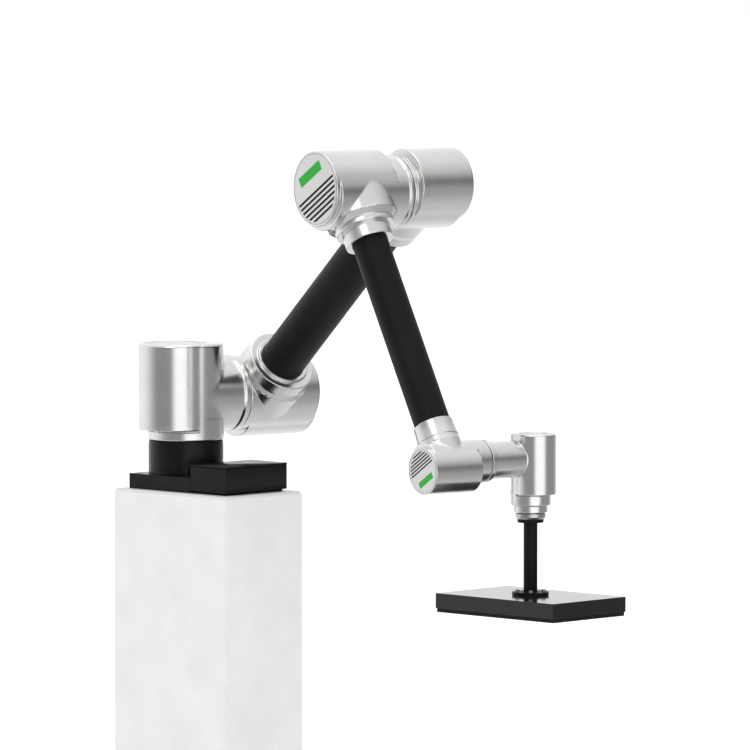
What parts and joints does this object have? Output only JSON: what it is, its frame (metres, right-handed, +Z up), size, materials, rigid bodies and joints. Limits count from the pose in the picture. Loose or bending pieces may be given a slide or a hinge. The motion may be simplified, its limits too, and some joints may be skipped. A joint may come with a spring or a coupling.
{
  "type": "collaborative robot arm",
  "caption": "Palletising collaborative robot arm with silver joint housings, black tubes, a black base and a flat vacuum gripper.",
  "frame": {"origin": "where the first (upright) joint axis meets the underside of the base plate", "axes": "+Z up along the first joint axis, +X along the base plate towards its terminal box, +Y across the plate towards the upper arm side"},
  "size_m": [1.3928, 0.5935, 1.1571],
  "materials": {
    "silver_casting": "satin",
    "silver_cap": "satin",
    "black_tube": "satin",
    "black_base": "satin",
    "label_green": "satin",
    "seal_rubber": "matte",
    "bearing_steel": "satin",
    "winding": "satin",
    "brake_black": "matte",
    "zinc_screw": "satin",
    "socket_metal": "satin",
    "loom_jacket": "matte",
    "gripper_black": "gloss",
    "foam_black": "matte"
  },
  "bodies": {
    "base": {"base_plate": "black_base", "terminal_box": "black_base", "terminal_lid": "black_base", "cable_socket": "socket_metal", "base_column": "black_base", "column_plug": "seal_rubber", "column_screws": "zinc_screw", "j1_output": "bearing_steel"},
    "shoulder": {"shoulder_casting": "silver_casting", "shoulder_lid": "silver_cap", "j1_seal": "seal_rubber", "j1_gear": "bearing_steel", "j1_stator": "winding", "j1_brake": "brake_black", "j2_output": "bearing_steel"},
    "upper_arm": {"upper_shoulder_casting": "silver_casting", "upper_shoulder_cap": "silver_cap", "j2_seal": "seal_rubber", "j2_gear": "bearing_steel", "j2_stator": "winding", "j2_brake": "brake_black", "upper_tube": "black_tube", "upper_loom": "loom_jacket", "upper_elbow_casting": "silver_casting", "upper_elbow_cap": "silver_cap", "j3_output": "bearing_steel"},
    "forearm": {"forearm_elbow_casting": "silver_casting", "forearm_elbow_cap": "silver_cap", "forearm_elbow_label": "label_green", "j3_seal": "seal_rubber", "j3_gear": "bearing_steel", "j3_stator": "winding", "j3_brake": "brake_black", "forearm_tube": "black_tube", "forearm_loom": "loom_jacket", "forearm_wrist_casting": "silver_casting", "forearm_wrist_cap": "silver_cap", "forearm_wrist_label": "label_green", "j4_seal": "seal_rubber", "j4_gear": "bearing_steel", "j4_stator": "winding", "j4_brake": "brake_black"},
    "wrist": {"wrist_casting": "silver_casting", "wrist_lid": "silver_cap", "j4_output": "bearing_steel", "j5_gear": "bearing_steel", "j5_stator": "winding", "j5_brake": "brake_black"},
    "tool": {"tool_flange": "bearing_steel", "tool_adapter": "black_tube", "gripper_post": "black_tube", "post_foot": "black_tube", "vacuum_body": "gripper_black", "vacuum_foam": "foam_black", "foot_screws": "zinc_screw"},
    "rotor_1": {"j1_rotor": "bearing_steel"},
    "rotor_2": {"j2_rotor": "bearing_steel"},
    "rotor_3": {"j3_rotor": "bearing_steel"},
    "rotor_4": {"j4_rotor": "bearing_steel"},
    "rotor_5": {"j5_rotor": "bearing_steel"}
  },
  "joints": [
    {"name": "base_turn", "type": "hinge", "parent": "base", "child": "shoulder", "pos_m": [0, 0, 0.126], "axis": [0, 0, 1], "range_deg": [-180, 180]},
    {"name": "shoulder_pitch", "type": "hinge", "parent": "shoulder", "child": "upper_arm", "pos_m": [0.02262, 0.13816, 0.239], "axis": [0.1616, 0.9869, 0], "range_deg": [-185, 84]},
    {"name": "elbow_pitch", "type": "hinge", "parent": "upper_arm", "child": "forearm", "pos_m": [0.67963, 0.07009, 0.78642], "axis": [0.1616, 0.9869, 0], "range_deg": [-230, 50]},
    {"name": "wrist_pitch", "type": "hinge", "parent": "forearm", "child": "wrist", "pos_m": [1.06375, -0.01206, 0.13086], "axis": [0.1616, 0.9869, 0], "range_deg": [-180, 180]},
    {"name": "tool_turn", "type": "hinge", "parent": "wrist", "child": "tool", "pos_m": [1.08929, 0.14386, -0.006], "axis": [0, 0, 1], "range_deg": [-180, 180]},
    {"name": "rotor_1_spin", "type": "hinge", "parent": "shoulder", "child": "rotor_1", "pos_m": [0, 0, 0.126], "axis": [0, 0, 1], "continuous": true},
    {"name": "rotor_2_spin", "type": "hinge", "parent": "upper_arm", "child": "rotor_2", "pos_m": [0.02262, 0.13816, 0.239], "axis": [0.1616, 0.9869, 0], "continuous": true},
    {"name": "rotor_3_spin", "type": "hinge", "parent": "forearm", "child": "rotor_3", "pos_m": [0.67963, 0.07009, 0.78642], "axis": [0.1616, 0.9869, 0], "continuous": true},
    {"name": "rotor_4_spin", "type": "hinge", "parent": "forearm", "child": "rotor_4", "pos_m": [1.06375, -0.01206, 0.13086], "axis": [0.1616, 0.9869, 0], "continuous": true},
    {"name": "rotor_5_spin", "type": "hinge", "parent": "wrist", "child": "rotor_5", "pos_m": [1.08929, 0.14386, -0.006], "axis": [0, 0, 1], "continuous": true}
  ],
  "couplings": [
    {"joint": "rotor_1_spin", "follows": "base_turn", "ratio": 100},
    {"joint": "rotor_2_spin", "follows": "shoulder_pitch", "ratio": 100},
    {"joint": "rotor_3_spin", "follows": "elbow_pitch", "ratio": 100},
    {"joint": "rotor_4_spin", "follows": "wrist_pitch", "ratio": -100},
    {"joint": "rotor_5_spin", "follows": "tool_turn", "ratio": -100}
  ]
}
